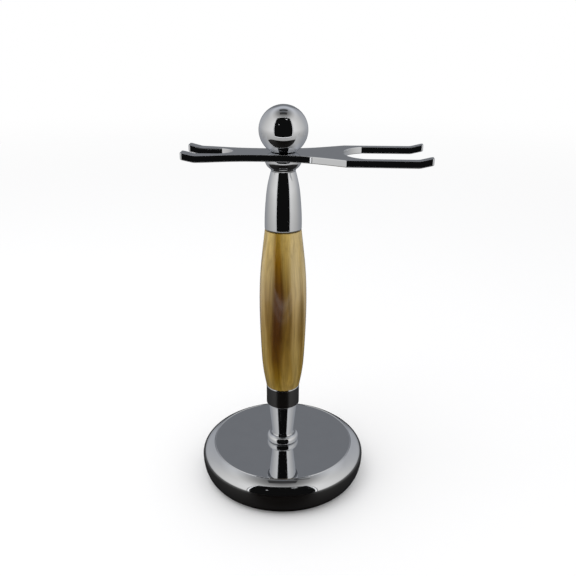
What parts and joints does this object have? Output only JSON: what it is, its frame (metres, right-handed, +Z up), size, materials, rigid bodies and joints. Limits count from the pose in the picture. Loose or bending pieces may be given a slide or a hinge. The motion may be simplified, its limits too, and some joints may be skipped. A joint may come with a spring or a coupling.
{
  "type": "razor and shaving brush stand",
  "caption": "Upright shaving stand with a weighted round base, a faux-horn handle stem and a swivelling flat fork for a safety razor and a shaving brush, held by a ball finial.",
  "frame": {"origin": "centre of the foot pad's underside, on the stem's axis, where the stand meets the shelf", "axes": "+Z up along the stem, +X towards the wide brush slot of the fork at rest, -X towards the narrow razor slot, +Y away from the viewer"},
  "size_m": [0.0984, 0.0752, 0.1703],
  "materials": {
    "chrome": "mirror-polished chrome plate",
    "horn": "polished faux-horn resin, streaked cream, honey and dark brown along its length",
    "steel": "plain zinc-plated steel",
    "brass": "plain turned brass",
    "nylon": "natural nylon",
    "ballast": "raw cast iron",
    "pad": "matt black non-slip rubber"
  },
  "bodies": {
    "stand": {"foot_pad": "pad", "base_shell": "chrome", "base_weight": "ballast", "flat_washer": "steel", "lock_washer": "steel", "base_nut": "steel", "tie_rod": "steel", "bead_ring": "chrome", "stem_foot": "chrome", "lower_ferrule": "chrome", "lower_seat_washer": "nylon", "handle": "horn", "handle_tube": "brass", "upper_ferrule": "chrome", "upper_seat_washer": "nylon", "fork_collar": "chrome", "fork_washer": "nylon"},
    "fork": {"fork": "chrome"},
    "finial_core": {"finial_insert": "brass"},
    "finial": {"ball_finial": "chrome"}
  },
  "joints": [
    {"name": "fork_swivel", "type": "hinge", "parent": "stand", "child": "fork", "pos_m": [0, 0, 0.1505], "axis": [0, 0, 1], "continuous": true},
    {"name": "finial_lift", "type": "slide", "parent": "stand", "child": "finial_core", "axis": [0, 0, 1], "range_m": [0, 0.0081]},
    {"name": "finial_turn", "type": "hinge", "parent": "finial_core", "child": "finial", "pos_m": [0, 0, 0.1607], "axis": [0, 0, 1], "range_deg": [0, 3600]}
  ],
  "couplings": [
    {"joint": "finial_lift", "follows": "finial_turn", "m_per_rad": 0.00012732}
  ]
}
